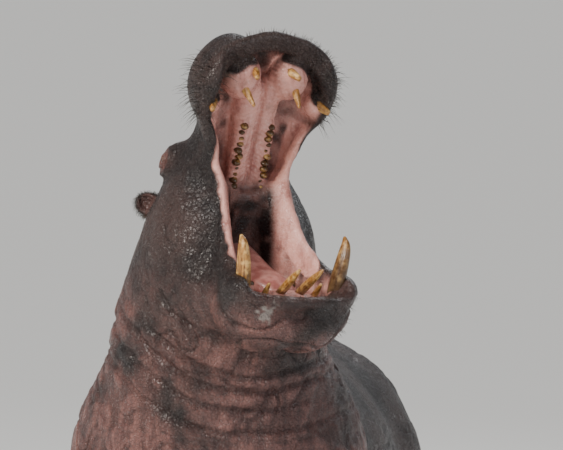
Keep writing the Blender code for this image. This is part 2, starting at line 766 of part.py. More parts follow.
def drop_crumbs(mesh):
    """Leaves only the biggest body of a mesh, where a socket cut a sliver off its edge."""
    shape = bmesh.new()
    shape.from_mesh(mesh)
    left = set(shape.verts)
    bodies = []
    while left:
        body, edge_of_body = set(), {left.pop()}
        while edge_of_body:
            body |= edge_of_body
            edge_of_body = {
                edge.other_vert(vert) for vert in edge_of_body for edge in vert.link_edges
            } - body
        left -= body
        bodies.append(body)
    bodies.sort(key=len)
    crumbs = [vert for body in bodies[:-1] for vert in body]
    bmesh.ops.delete(shape, geom=crumbs, context="VERTS")
    shape.to_mesh(mesh)
    shape.free()


def apply_all():
    """Makes every cut for good, clears the cutters away and stands the animal over the origin."""
    graph = bpy.context.evaluated_depsgraph_get()
    pieces = [made for made in bpy.data.objects if not made.hide_render]
    finished = [bpy.data.meshes.new_from_object(made.evaluated_get(graph)) for made in pieces]
    for made, mesh in zip(pieces, finished):
        drop_crumbs(mesh)
        made.modifiers.clear()
        made.data = mesh
    for made in [made for made in bpy.data.objects if made.hide_render]:
        bpy.data.objects.remove(made)
    spots = np.array([vert.co for made in pieces for vert in made.data.vertices])
    middle = (spots.min(0) + spots.max(0)) / 2
    shift = Vector((-middle[0], -middle[1], 0))
    for made in pieces:
        made.data.transform(Matrix.Translation(shift))


def build():
    for made in list(bpy.data.objects):
        bpy.data.objects.remove(made)
    head, jaw_piece = add_head_pieces()
    neck_piece, trunk_piece = add_body()
    add_ears(head)
    add_legs(trunk_piece)
    add_teeth({UPPER: head, LOWER: jaw_piece})
    add_tongue((jaw_piece, head, neck_piece))
    add_eyes(head)
    apply_all()


if __name__ == "__main__":
    build()
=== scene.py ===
"""A life-size hippopotamus, a big bull, yawning with its head raised and turned to its left."""

import math

import bmesh
import bpy
import numpy as np
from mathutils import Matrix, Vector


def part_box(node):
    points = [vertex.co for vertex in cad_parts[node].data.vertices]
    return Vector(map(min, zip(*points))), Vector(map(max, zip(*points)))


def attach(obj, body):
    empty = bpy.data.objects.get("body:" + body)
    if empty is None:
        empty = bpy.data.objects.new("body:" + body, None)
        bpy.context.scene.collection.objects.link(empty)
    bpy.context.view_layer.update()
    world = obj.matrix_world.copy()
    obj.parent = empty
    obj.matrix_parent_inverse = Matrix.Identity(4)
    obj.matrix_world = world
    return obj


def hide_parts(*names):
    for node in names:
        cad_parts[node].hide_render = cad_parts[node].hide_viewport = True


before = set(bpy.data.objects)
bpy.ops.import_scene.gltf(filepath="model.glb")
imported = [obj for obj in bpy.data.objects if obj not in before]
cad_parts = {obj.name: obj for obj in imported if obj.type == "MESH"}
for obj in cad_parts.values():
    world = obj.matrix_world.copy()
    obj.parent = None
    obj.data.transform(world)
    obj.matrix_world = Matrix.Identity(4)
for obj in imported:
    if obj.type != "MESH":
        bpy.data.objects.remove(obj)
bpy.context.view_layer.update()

import openvdb
from mathutils import Matrix, Vector


# ------------------------------------------------------------ how the head is held
# The bull has thrown its upper jaw back and dropped the lower one, both about a hinge below and behind the eyes.
# Everything on the head is set out from that hinge, forward along a jaw, to its left, and up off its underside.

HINGE = Vector((0.130, 0.020, 1.950))
HEAD_TURN = math.radians(36)
HEAD_ROLL = math.radians(3)


class Jaw:
    def __init__(self, pitch):
        ahead = Vector((math.sin(HEAD_TURN), -math.cos(HEAD_TURN), 0))
        aside = Vector((math.cos(HEAD_TURN), math.sin(HEAD_TURN), 0))
        upright = Vector((0, 0, math.cos(HEAD_ROLL))) + aside * math.sin(HEAD_ROLL)
        self.forward = ahead * math.cos(pitch) + upright * math.sin(pitch)
        self.left = upright.cross(ahead).normalized()
        self.up = upright * math.cos(pitch) - ahead * math.sin(pitch)
        self.turn = Matrix((self.forward, self.left, self.up)).transposed()

    def place(self, spot):
        return HINGE + self.turn @ Vector(spot)

    def local(self, points):
        return np.array(self.turn, np.float32).T @ (points - np.array(HINGE, np.float32)[:, None])


UPPER = Jaw(math.radians(73))
LOWER = Jaw(math.radians(-5))
LEVEL = Jaw(0)

# The animal is drawn from a spot between its fore feet; the model's own origin is under its middle.
EYE_SPOT = (0.112, 0.189, 0.206)
eye_low, eye_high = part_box("eye_left")
STAND = (eye_low + eye_high) / 2 - UPPER.place(EYE_SPOT)
STAND.z = 0


# ------------------------------------------------------------ flesh of the trunk and neck
# A deep barrel of gut and fat slung between the shoulders and the rump, with a short thick neck drawn up to the head.
# Flesh is worked out as a distance to its surface, negative inside, so that one mass can run softly into the next.


def both_sides(points, across):
    folded = points.copy()
    folded[across] = np.abs(folded[across])
    return folded


def ball(points, centre, radii):
    radii = np.array(radii, np.float32)[:, None]
    scaled = (points - np.array(centre, np.float32)[:, None]) / radii
    size = np.sqrt((scaled**2).sum(0)) + 1e-6
    return size * (size - 1) / (np.sqrt(((scaled / radii) ** 2).sum(0)) + 1e-6)


def join(one, other, soft):
    near = np.maximum(soft - np.abs(one - other), 0) / soft
    return np.minimum(one, other) - near * near * soft / 4


def carve(shape, tool, soft):
    return -join(-shape, tool, soft)


def overlap(one, other, soft):
    return -join(-one, -other, soft)


def limb(points, spots, radii):
    found = None
    for start, end, first, last in zip(spots, spots[1:], radii, radii[1:]):
        start = np.array(start, np.float32)[:, None]
        way = np.array(end, np.float32)[:, None] - start
        offset = points - start
        share = np.clip((offset * way).sum(0) / float((way**2).sum()), 0, 1)
        here = np.sqrt(((offset - way * share) ** 2).sum(0)) - (first + (last - first) * share)
        found = here if found is None else join(found, here, 0.02)
    return found


def smooth_path(spots, steps=4):
    spots = [np.array(spot, float) for spot in spots]
    ends = [2 * spots[0] - spots[1], *spots, 2 * spots[-1] - spots[-2]]
    made = []
    for a, b, c, d in zip(ends, ends[1:], ends[2:], ends[3:]):
        for step in range(steps):
            t = step / steps
            bend = (2 * a - 5 * b + 4 * c - d) * t**2 + (3 * b - a - 3 * c + d) * t**3
            made.append(0.5 * (2 * b + (c - a) * t + bend))
    return [*made, spots[-1]]


def rope(points, spots):
    path = smooth_path(spots)
    return limb(points, [spot[:3] for spot in path], [float(spot[3]) for spot in path])


def trunk(points):
    p = both_sides(points, 0)
    shape = ball(p, (0, 1.24, 0.83), (0.57, 1.02, 0.535))
    shape = join(shape, ball(p, (0, 0.42, 0.92), (0.47, 0.54, 0.50)), 0.16)
    shape = join(shape, ball(p, (0, 1.98, 0.87), (0.47, 0.52, 0.50)), 0.16)
    shape = join(shape, ball(p, (0, 1.15, 1.08), (0.31, 1.15, 0.31)), 0.16)
    shape = join(shape, ball(p, (0.34, 0.44, 0.84), (0.20, 0.29, 0.44)), 0.16)
    return join(shape, ball(p, (0.31, 1.98, 0.76), (0.22, 0.37, 0.44)), 0.16)


THROAT = [(0.00, 0.62, 1.05, 0.42), (0.02, 0.34, 1.22, 0.41), (0.035, 0.19, 1.50, 0.375), (0.075, 0.13, 1.76, 0.305)]
NAPE = [(0.00, 0.80, 1.12, 0.28), (0.02, 0.58, 1.33, 0.25), (0.04, 0.40, 1.58, 0.21), (0.06, 0.25, 1.77, 0.16)]


def neck(points):
    return join(rope(points, THROAT), rope(points, NAPE), 0.20)


# ------------------------------------------------------------ flesh of the head
# A long bony bridge with the eyes raised on its back end, two swollen lip pads in front with the nostrils on top,
# and a heavy lower jaw whose bulges hold the tusks. Skin and muscle are stretched between the two at the cheeks.


def head_back(points):
    p = both_sides(UPPER.local(points), 1)
    shape = ball(p, (0.00, 0, 0.10), (0.22, 0.20, 0.15))
    shape = join(shape, ball(p, (0.10, 0, 0.14), (0.16, 0.17, 0.10)), 0.07)
    shape = join(shape, ball(p, (-0.02, 0.15, 0.07), (0.17, 0.09, 0.12)), 0.07)
    shape = join(shape, ball(p, (-0.10, 0.15, -0.02), (0.17, 0.12, 0.18)), 0.07)
    return join(shape, ball(p, (0.118, 0.163, 0.203), (0.072, 0.050, 0.056)), 0.05)


UPPER_LIP = [
    (0.24, 0.128, -0.015, 0.024), (0.33, 0.168, -0.030, 0.027), (0.42, 0.222, -0.055, 0.030),
    (0.52, 0.222, -0.070, 0.036), (0.612, 0.150, -0.065, 0.042), (0.656, 0.000, -0.050, 0.044),
]
NOSTRIL = [(0.525, 0.082, 0.188, 0.006), (0.555, 0.064, 0.196, 0.010), (0.585, 0.056, 0.180, 0.006)]


def muzzle(points):
    p = both_sides(UPPER.local(points), 1)
    shape = limb(p, [(0.10, 0.02, 0.095), (0.48, 0.06, 0.080)], [0.130, 0.115])
    shape = join(shape, ball(p, (0.50, 0.110, 0.040), (0.155, 0.125, 0.110)), 0.07)
    shape = join(shape, ball(p, (0.465, 0.170, 0.010), (0.12, 0.082, 0.095)), 0.07)
    shape = join(shape, ball(p, (0.545, 0.075, 0.150), (0.065, 0.045, 0.042)), 0.04)
    shape = join(shape, rope(p, UPPER_LIP), 0.06)
    return carve(shape, rope(p, NOSTRIL), 0.012)


LOWER_LIP = [
    (0.20, 0.132, -0.150, 0.026), (0.31, 0.168, -0.172, 0.029), (0.41, 0.212, -0.188, 0.034),
    (0.49, 0.205, -0.203, 0.037), (0.555, 0.120, -0.215, 0.037), (0.572, 0.000, -0.220, 0.037),
]


def jaw(points):
    p = both_sides(LOWER.local(points), 1)
    shape = limb(p, [(0.02, 0.11, -0.22), (0.40, 0.09, -0.31)], [0.15, 0.105])
    shape = join(shape, ball(p, (0.40, 0.05, -0.31), (0.165, 0.155, 0.115)), 0.07)
    shape = join(shape, ball(p, (0.43, 0.160, -0.265), (0.105, 0.075, 0.090)), 0.07)
    shape = join(shape, ball(p, (-0.04, 0.15, -0.22), (0.19, 0.09, 0.22)), 0.07)
    return join(shape, rope(p, LOWER_LIP), 0.05)


CHEEK_EDGE = [
    (0.135, 0.148, 0.310, 0.026), (0.105, 0.116, 0.170, 0.026), (0.140, 0.118, 0.040, 0.028),
    (0.215, 0.134, -0.080, 0.028), (0.300, 0.155, -0.165, 0.028),
]


def cheeks(points):
    p = both_sides(LEVEL.local(points), 1)
    shape = ball(p, (-0.03, 0.095, -0.05), (0.12, 0.065, 0.24))
    return join(shape, rope(p, CHEEK_EDGE), 0.08)


def between_cheeks(points):
    p = both_sides(LEVEL.local(points), 1)
    rising = CHEEK_EDGE[::-1]
    heights = [spot[2] for spot in rising]
    reach = np.interp(p[2], heights, [spot[0] for spot in rising])
    mouth_half = np.interp(p[2], heights, [spot[1] - spot[3] for spot in rising])
    throat_half = 0.035
    return p[1] - (throat_half + (mouth_half - throat_half) * np.clip(p[0] / reach, 0, 1.9))


def mouth(points):
    high = both_sides(UPPER.local(points), 1)
    low = both_sides(LOWER.local(points), 1)
    under_palate = high[2] - 0.030 + 1.6 * high[1] ** 2
    over_floor = -(low[2] + 0.250)
    wedge = overlap(overlap(under_palate, over_floor, 0.08), between_cheeks(points), 0.03)
    front_room = ball(high, (0.44, 0, -0.05), (0.175, 0.208, 0.50))
    back_room = ball(high, (0.30, 0, -0.05), (0.20, 0.140, 0.50))
    upper_tray = overlap(join(front_room, back_room, 0.05), under_palate, 0.03)
    upper_tray = overlap(upper_tray, -(high[2] + 0.25), 0.02)
    lower_tray = overlap(ball(low, (0.30, 0, -0.16), (0.245, 0.182, 0.50)), wedge, 0.03)
    between = np.maximum(high[2] + 0.075, -(low[2] + 0.20))
    return join(join(upper_tray, lower_tray, 0.03), overlap(wedge, between, 0.05), 0.03)


def palate(points):
    p = both_sides(UPPER.local(points), 1)
    shape = limb(p, [(0.08, 0.015, 0.025), (0.46, 0.03, 0.020)], [0.055, 0.062])
    shape = join(shape, ball(p, (0.525, 0.095, -0.020), (0.085, 0.070, 0.075)), 0.025)
    shape = join(shape, ball(p, (0.43, 0.205, -0.030), (0.045, 0.038, 0.055)), 0.025)
    for place in range(7):
        shape = join(shape, ball(p, (0.06 + 0.045 * place, 0.055, -0.020), (0.026, 0.022, 0.024)), 0.02)
    return shape


def jaw_floor(points):
    p = both_sides(LOWER.local(points), 1)
    shape = ball(p, (0.43, 0.0, -0.265), (0.10, 0.15, 0.055))
    for place in range(6):
        shape = join(shape, ball(p, (0.08 + 0.046 * place, 0.080, -0.235), (0.027, 0.022, 0.034)), 0.02)
    return shape


# ------------------------------------------------------------ sockets of the eyes
# Each eye looks out sideways from its own turret of flesh, between two thick lids that close over its rim.

EYE_RADIUS = 0.031
EYE_LOOK = Vector((0.20, 0.93, 0.30)).normalized()
LID_ROUND = 0.0085


def eye_axes():
    level = Vector((1, 0, 0))
    level = (level - EYE_LOOK * level.dot(EYE_LOOK)).normalized()
    return Matrix((EYE_LOOK, level, EYE_LOOK.cross(level)))


def from_eye(points):
    p = both_sides(UPPER.local(points), 1)
    return np.array(eye_axes(), np.float32) @ (p - np.array(EYE_SPOT, np.float32)[:, None])


def with_eyes(shape, points):
    q = from_eye(points)
    shape = carve(shape, ball(q, (0, 0, 0), (EYE_RADIUS + 0.0015,) * 3), 0.006)
    opening = ball(q, (0.034, 0, 0), (0.018, 0.022, 0.017))
    shape = carve(shape, opening, 0.006)
    around = np.sqrt((q[1] / 1.12) ** 2 + q[2] ** 2)
    lid = np.sqrt((around - 0.022) ** 2 + (q[0] - 0.026 - 0.10 * (0.022 - around)) ** 2) - LID_ROUND
    fold = np.sqrt((around - 0.043) ** 2 + (q[0] - 0.014) ** 2) - 0.0075
    shape = join(shape, lid, 0.008)
    return join(shape, fold, 0.014)


# ------------------------------------------------------------ ears
# Small round leaves of gristle on short stalks behind the eyes, cupped forwards and ringed with short hair.

EAR_ROOT = Vector((-0.080, 0.165, 0.190))
EAR_AXIS = Vector((0.25, 0.75, 0.60)).normalized()
EAR_FACE = Vector((0.30, 0.35, -0.85))


def ear_axes():
    across = EAR_FACE.cross(EAR_AXIS).normalized()
    return Matrix((EAR_AXIS, across, EAR_AXIS.cross(across)))


def from_ear(points):
    p = both_sides(UPPER.local(points), 1)
    middle = EAR_ROOT + EAR_AXIS * 0.075
    return np.array(ear_axes(), np.float32) @ (p - np.array(middle, np.float32)[:, None])


def ear(points):
    q = from_ear(points)
    leaf = ball(q, (0, 0, 0), (0.054, 0.043, 0.026))
    cup = ball(q, (0.006, 0, 0.026), (0.044, 0.032, 0.026))
    stalk = limb(
        both_sides(UPPER.local(points), 1), [tuple(EAR_ROOT), tuple(EAR_ROOT + EAR_AXIS * 0.04)], [0.034, 0.026]
    )
    return join(carve(leaf, cup, 0.008), stalk, 0.02)


# ------------------------------------------------------------ legs and tail
# Four short columns, each on a broad pad with four toes spread round its front, and a short flattened tail.

FORE_FOOT, FORE_STEP = (0.385, 0.42), {1: -0.06, -1: 0.05}
HIND_FOOT, HIND_STEP = (0.355, 1.99), {1: 0.05, -1: -0.07}
TOE_ANGLES = [math.radians(turn) for turn in (-63, -22, 22, 63)]
TOE_REACH = 0.125


def heel(front, side):
    spot, step = (FORE_FOOT, FORE_STEP) if front else (HIND_FOOT, HIND_STEP)
    return spot[0] * side, spot[1] + step[side]


def toe_spot(middle, angle, reach, height):
    return (middle[0] + math.sin(angle) * reach, middle[1] - math.cos(angle) * reach, height)


def foot(points, middle):
    shape = ball(points, (*middle, 0.055), (0.140, 0.140, 0.12))
    for angle in TOE_ANGLES:
        knuckle, tip = toe_spot(middle, angle, 0.055, 0.105), toe_spot(middle, angle, TOE_REACH, 0.042)
        shape = join(shape, limb(points, [knuckle, tip], [0.060, 0.046]), 0.025)
    return shape


def fore_leg(points, side):
    x, y = heel(True, side)
    spots = [(0.34 * side, 0.43, 0.78, 0.22), (0.37 * side, 0.5 * (0.46 + y), 0.50, 0.175), (x, y + 0.02, 0.22, 0.138)]
    return join(rope(points, spots), foot(points, (x, y)), 0.05)


def hind_leg(points, side):
    x, y = heel(False, side)
    spots = [
        (0.31 * side, 1.96, 0.80, 0.26), (0.35 * side, 0.5 * (1.88 + y), 0.52, 0.190),
        (x, y + 0.07, 0.28, 0.132), (x, y + 0.03, 0.14, 0.130),
    ]
    return join(rope(points, spots), foot(points, (x, y)), 0.05)


TAIL = [
    (0.0, 2.420, 1.160, 0.062), (0.0, 2.520, 1.080, 0.047), (0.0, 2.565, 0.950, 0.037),
    (0.0, 2.580, 0.810, 0.027), (0.0, 2.590, 0.720, 0.016),
]


# ------------------------------------------------------------ one hide over all of it
# The hide is one skin from lips to tail, an inch thick on the living bull, stretched over all the masses above.
# It is drawn finely about the head and more coarsely along the body, cut level where the soles press on the ground.


def flesh(points):
    shape = join(trunk(points), neck(points), 0.22)
    head = join(join(head_back(points), muzzle(points), 0.07), jaw(points), 0.07)
    head = carve(join(head, cheeks(points), 0.07), mouth(points), 0.03)
    shape = carve(join(shape, head, 0.12), mouth(points), 0.03)
    shape = join(shape, palate(points), 0.02)
    shape = join(shape, jaw_floor(points), 0.02)
    shape = join(shape, ear(points), 0.025)
    shape = with_eyes(shape, points)
    for side in (1, -1):
        shape = join(shape, fore_leg(points, side), 0.10)
        shape = join(shape, hind_leg(points, side), 0.10)
    shape = join(shape, rope(points, TAIL), 0.05)
    return np.maximum(shape, -points[2])


def stops(spans):
    """Grid lines through spans of (start, end, spacing), in a number that halves twice."""
    lines = [np.arange(start, end, spacing) for start, end, spacing in spans]
    lines = np.concatenate(lines)
    extra = (-(len(lines) - 1)) % 4
    last = lines[-1] + (lines[-1] - lines[-2]) * np.arange(1, extra + 1)
    return np.concatenate([lines, last]).astype(np.float32)


def refine(values, axis):
    """Twice as many values along an axis, each new one halfway between its neighbours."""
    values = np.moveaxis(values, axis, 0)
    finer = np.empty((2 * len(values) - 1, *values.shape[1:]), np.float32)
    finer[::2] = values
    finer[1::2] = (values[1:] + values[:-1]) / 2
    return np.moveaxis(finer, 0, axis)


def near_surface(field, axes):
    """The field on the grid, worked out afresh only near its surface."""
    values = None
    for stride in (4, 2, 1):
        lines = [axis[::stride] for axis in axes]
        if values is None:
            grid = np.stack([line.ravel() for line in np.meshgrid(*lines, indexing="ij")])
            values = field(grid).reshape([len(line) for line in lines])
            continue
        for axis in range(3):
            values = refine(values, axis)
        steps = [np.gradient(line) * 2 for line in lines]
        reach = np.sqrt(
            steps[0][:, None, None] ** 2 + steps[1][None, :, None] ** 2 + steps[2][None, None, :] ** 2
        ).astype(np.float32)
        spots = np.nonzero(np.abs(values) < reach * (1.0 if stride == 2 else 0.8))
        values[spots] = field(np.stack([line[spot] for line, spot in zip(lines, spots)]))
    return values


def mesh_of(name, points, faces):
    """A mesh from arrays of points and of faces, each array holding faces of one size."""
    mesh = bpy.data.meshes.new(name)
    mesh.vertices.add(len(points))
    mesh.vertices.foreach_set("co", np.ascontiguousarray(points, np.float32).ravel())
    corners = np.concatenate([part.ravel() for part in faces]).astype(np.int32)
    sizes = np.concatenate([np.full(len(part), part.shape[1]) for part in faces])
    mesh.loops.add(len(corners))
    mesh.loops.foreach_set("vertex_index", corners)
    mesh.polygons.add(len(sizes))
    mesh.polygons.foreach_set("loop_start", np.concatenate([[0], np.cumsum(sizes)[:-1]]).astype(np.int32))
    mesh.update(calc_edges=True)
    mesh.shade_smooth()
    return mesh


def outward(mesh):
    """The unit normal at each vertex, as three rows."""
    found = np.empty(len(mesh.vertices) * 3, np.float32)
    mesh.vertex_normals.foreach_get("vector", found)
    return found.reshape(-1, 3).T


FINE = 1.0
BAND = 0.03
MOST_NUDGE = 0.004
grid_x = stops([(-0.66, 0.68, 0.005 * FINE)])
grid_y = stops([(-0.62, 0.56, 0.0042 * FINE), (0.56, 2.70, 0.011 * FINE)])
grid_z = stops([(-0.03, 1.42, 0.010 * FINE), (1.42, 2.68, 0.0042 * FINE)])
grid = near_surface(flesh, (grid_x, grid_y, grid_z))
volume = openvdb.FloatGrid(BAND)
volume.copyFromArray(np.ascontiguousarray(np.clip(grid, -BAND, BAND)))
spots, triangles, quads = volume.convertToPolygons(0.0, 0.0)
del grid
at = np.stack([
    np.interp(spots[:, i], np.arange(len(lines)), lines) for i, lines in enumerate((grid_x, grid_y, grid_z))
]).astype(np.float32)
hide_mesh = mesh_of("hide", at.T, [quads, triangles])
for _ in range(2):
    at -= outward(hide_mesh) * np.clip(flesh(at), -MOST_NUDGE, MOST_NUDGE)
    hide_mesh.vertices.foreach_set("co", at.T.ravel())
    hide_mesh.update()
print("hide:", at.shape[1], "points")

# Broad rolls and long creases of the neck and chest, then the net of wrinkles over cheeks, neck and flanks. The palate
# has ridges across it and a groove down its middle. All of it moves the surface in or out by a few millimetres.


def blend_between(values, low, high):
    """0 below low, 1 above high, and a smooth step between them."""
    share = np.clip((values - low) / (high - low), 0, 1)
    return share * share * (3 - 2 * share)


def lattice(cells, salt):
    """A repeatable number from 0 to 1 for each whole-number cell."""
    mixed = (cells[0] * 73856093) ^ (cells[1] * 19349663) ^ (cells[2] * 83492791) ^ (salt * 2654435761)
    mixed = (mixed ^ (mixed >> 13)) * 1274126177
    return (((mixed ^ (mixed >> 16)) & 0xFFFF) / 65535.0).astype(np.float32)


def clouds(points, size, salt=1):
    """Soft random swells about this size, from -1 to 1."""
    scaled = points / size
    cells = np.floor(scaled).astype(np.int64)
    inside = (scaled - cells).astype(np.float32)
    inside = inside * inside * (3 - 2 * inside)
    total = np.zeros(points.shape[1], np.float32)
    for corner in np.ndindex(2, 2, 2):
        weight = np.prod([inside[i] if corner[i] else 1 - inside[i] for i in range(3)], axis=0)
        total += weight * lattice(cells + np.array(corner)[:, None], salt)
    return 2 * total - 1


def wrinkles(points, size, width, salt):
    """1 along long winding creases about this far apart, falling to 0 beside them."""
    return np.exp(-((clouds(points, size, salt) / width) ** 2))


high, low, level = UPPER.local(at), LOWER.local(at), LEVEL.local(at)
upper_lip_off = rope(both_sides(high, 1), UPPER_LIP)
lower_lip_off = rope(both_sides(low, 1), LOWER_LIP)
ragged = 0.006 * clouds(at, 0.03)
cheek_lining = 0.030 * blend_between(0.02 - rope(both_sides(level, 1), CHEEK_EDGE), 0, 0.015)
in_mouth = blend_between(cheek_lining - mouth(at) + ragged, -0.016, 0.002)
lining_back = 0.05 * blend_between(0.46 - high[0], 0, 0.08)
floor_back = 0.05 * blend_between(0.44 - low[0], 0, 0.08)
in_mouth *= blend_between(upper_lip_off + ragged + lining_back, 0.004, 0.014)
in_mouth *= blend_between(lower_lip_off + ragged + floor_back, 0.0, 0.012)
aside = np.abs(high[1])
on_palate = blend_between(-high[2], -0.075, -0.045) * blend_between(0.09 - aside, 0, 0.02) * in_mouth
on_palate = on_palate * blend_between(high[0], 0.10, 0.16) * (high[2] > -0.07)
ridges = np.sin((high[0] + 0.45 * aside + 0.008 * clouds(at, 0.03, 5)) * math.tau / 0.017)
groove = np.exp(-((high[1] - 0.004 * clouds(at, 0.05, 7)) / 0.008) ** 2)
sink = on_palate * (0.0011 * ridges + 0.009 * groove)
swells = clouds(at, 0.09, 11) + 0.5 * clouds(at, 0.045, 12)
outside = 1 - in_mouth
off_lips = blend_between(0.44 - high[0], 0, 0.10) * blend_between(0.40 - low[0], 0, 0.12)
wander = np.stack([clouds(at, 0.10, salt) for salt in (21, 22, 23)]) * 0.05
stirred = at + wander
on_neck = blend_between(1.80 - at[2], 0, 0.25) * blend_between(0.75 - at[1], 0, 0.3)
on_neck *= blend_between(at[2], 0.75, 1.0)
rings = stirred * np.array([[0.45], [0.45], [1.0]])
NECK_FOLD_DEPTH, THROAT_FOLD_DEPTH, NET_DEPTH = 0.0075, 0.008, 0.0044
neck_folds = wrinkles(rings + wander, 0.105, 0.17, 61) * NECK_FOLD_DEPTH
neck_folds += wrinkles(rings, 0.045, 0.20, 62) * 0.0028
crossed = wrinkles(stirred, 0.070, 0.16, 63) * 0.0020 + wrinkles(stirred * 1.1, 0.034, 0.20, 64) * 0.0014
crossed += wrinkles(stirred * np.array([[1.0], [1.0], [0.6]]), 0.024, 0.24, 65) * 0.0010
body_folds = wrinkles(stirred * np.array([[0.8], [0.35], [1.0]]), 0.16, 0.10, 66) * 0.0030
sink += outside * (on_neck * neck_folds + off_lips * crossed + (1 - on_neck) * off_lips * body_folds)
sink -= outside * 0.0025 * swells + in_mouth * 0.0015 * swells


def bent_fold(centre, radius, start, end, width, depth):
    """A crease bent round a spot beside the hinge, on the side of the animal that faces forwards."""
    across, rise = at[0] - HINGE.x - centre[0], at[2] - HINGE.z - centre[1]
    turn = np.degrees(np.arctan2(rise, across)) % 360
    share = blend_between(turn, start, start + 15) * blend_between(end - turn, 0, 15) * (at[1] < 0.45)
    off = np.hypot(across, rise) - radius + 0.014 * clouds(at, 0.10, 71)
    return depth * share * np.exp(-((off / width) ** 2))


throat_folds = bent_fold((-0.16, -0.03), 0.070, 165, 265, 0.006, 0.006)
throat_folds += bent_fold((-0.05, -0.20), 0.200, 190, 262, 0.010, 0.010)
for radius, start, end in ((0.55, 215, 300), (0.61, 205, 310), (0.68, 200, 290), (0.76, 205, 300)):
    throat_folds += bent_fold((0.10, -0.02), radius, start, end, 0.011, 0.011)
sink += outside * throat_folds
# How deep the folds and wrinkles lie here, kept to paint shade into the creases
crease_shade_share = on_neck * neck_folds / NECK_FOLD_DEPTH + off_lips * crossed / NET_DEPTH + throat_folds / THROAT_FOLD_DEPTH
crease_shade_share *= outside
at = at - outward(hide_mesh) * sink
at[2] = np.maximum(at[2], 0)
hide_mesh.vertices.foreach_set("co", (at + np.array(STAND, np.float32)[:, None]).T.ravel())
hide_mesh.update()


def mark(mesh, name, values):
    made = mesh.attributes.new(name, "FLOAT", "POINT")
    made.data.foreach_set("value", np.ascontiguousarray(values, np.float32))


flush = clouds(at, 0.16, 51) + 0.4 * clouds(at, 0.05, 52) + 1.2 * (1.62 - at[2])
throat_pink = on_neck * blend_between(flush, -0.7, 0.5)
eye_ring = np.exp(-((np.sqrt((from_eye(at) ** 2).sum(0)) - 0.036) / 0.012) ** 2)
ear_inside = blend_between(0.05 - np.sqrt((from_ear(at) ** 2).sum(0)), 0, 0.01)
# Painted shade: the gum is turned nearly black deep in the mouth, down the gullet, where shade falls
gullet_shade = blend_between(0.200 - level[0], 0, 0.085) * blend_between(0.16 - level[2], 0, 0.10) * in_mouth
gullet_shade *= blend_between(0.108 - np.abs(level[1]), 0, 0.030)
mud_spot = np.hypot((low[1] + 0.150) / 0.032, (low[2] + 0.270) / 0.055) + 0.5 * clouds(at, 0.045, 81)
mud_spot += 0.9 * clouds(at, 0.012, 82)
mark(hide_mesh, "gum", in_mouth)
mark(hide_mesh, "pink", np.clip(0.8 * throat_pink + 0.7 * eye_ring + 0.3 * ear_inside, 0, 1))
mark(hide_mesh, "crease_shade", np.clip(crease_shade_share, 0, 1))
mark(hide_mesh, "gullet_shade", gullet_shade)
mark(hide_mesh, "mud", outside * (low[0] > 0.40) * 0.55 * blend_between(1.0 - mud_spot, 0, 0.9))


# Wet hide is dark brown-grey with a pinkish bloom at the throat and round the eyes, cracked all over into fine plates,
# with painted shade down its creases and in the cracks between plates, and a smear of grey mud drying on the lower
# lip.
# Inside the lips it turns to pink wet gum, streaked with brown, with painted shade making it darkest down the gullet.


def paint(name):
    made = bpy.data.materials.new(name)
    made.use_nodes = True
    return made, made.node_tree, made.node_tree.nodes["Principled BSDF"]


def node(tree, kind, settings=None, **inputs):
    """A shader node with these settings. An input, named or as i and its number, takes a value or another output."""
    made = tree.nodes.new("ShaderNode" + kind)
    for key, value in (settings or {}).items():
        setattr(made, key, value)
    for key, value in inputs.items():
        by_number = key[0] == "i" and key[1:].isdigit()
        socket = made.inputs[int(key[1:]) if by_number else key.replace("_", " ")]
        if isinstance(value, bpy.types.NodeSocket):
            tree.links.new(value, socket)
        else:
            socket.default_value = value
    return made


def mix(tree, share, one, other):
    """One colour turned into another by this share."""
    return node(tree, "Mix", {"data_type": "RGBA"}, i0=share, i6=one, i7=other).outputs[2]


def ramp(tree, value, low, high, to_low=0.0, to_high=1.0):
    made = node(tree, "MapRange", {"interpolation_type": "SMOOTHSTEP"}, Value=value, From_Min=low, From_Max=high)
    made.inputs["To Min"].default_value = to_low
    made.inputs["To Max"].default_value = to_high
    return made.outputs[0]


def share_of(tree, name):
    return node(tree, "Attribute", {"attribute_name": name}).outputs["Fac"]


def noise(tree, where, scale, detail=4.0, roughness=0.55):
    made = node(tree, "TexNoise", Vector=where, Scale=scale, Detail=detail, Roughness=roughness)
    return made.outputs[0]


def sum_of(tree, one, other):
    return node(tree, "Math", {"operation": "ADD"}, i0=one, i1=other).outputs[0]


def product(tree, one, other):
    return node(tree, "Math", {"operation": "MULTIPLY"}, i0=one, i1=other).outputs[0]


def rest_of(tree, share):
    return node(tree, "Math", {"operation": "SUBTRACT"}, i0=1.0, i1=share).outputs[0]


def stretched(tree, where, factors):
    return node(tree, "VectorMath", {"operation": "MULTIPLY"}, i0=where, i1=factors).outputs[0]


wet_hide, tree, shader = paint("wet hide")
place = node(tree, "TexCoord").outputs["Object"]
stir = node(tree, "TexNoise", Vector=place, Scale=9.0, Detail=3.0).outputs[1]
stirred = node(tree, "VectorMath", {"operation": "MULTIPLY_ADD"}, i0=stir, i1=(0.03, 0.03, 0.03), i2=place).outputs[0]
plate_edges = node(tree, "TexVoronoi", {"feature": "DISTANCE_TO_EDGE"}, Vector=stirred, Scale=70.0).outputs[0]
grain_edges = node(tree, "TexVoronoi", {"feature": "DISTANCE_TO_EDGE"}, Vector=stirred, Scale=170.0).outputs[0]
blotches = noise(tree, place, 5.0)
speckle = noise(tree, place, 60.0, 5.0, 0.7)
streaks = noise(tree, stretched(tree, stirred, (1.0, 1.0, 0.22)), 26.0, 4.0, 0.6)
dark = mix(tree, ramp(tree, blotches, 0.35, 0.65), (0.012, 0.008, 0.008, 1), (0.046, 0.027, 0.024, 1))
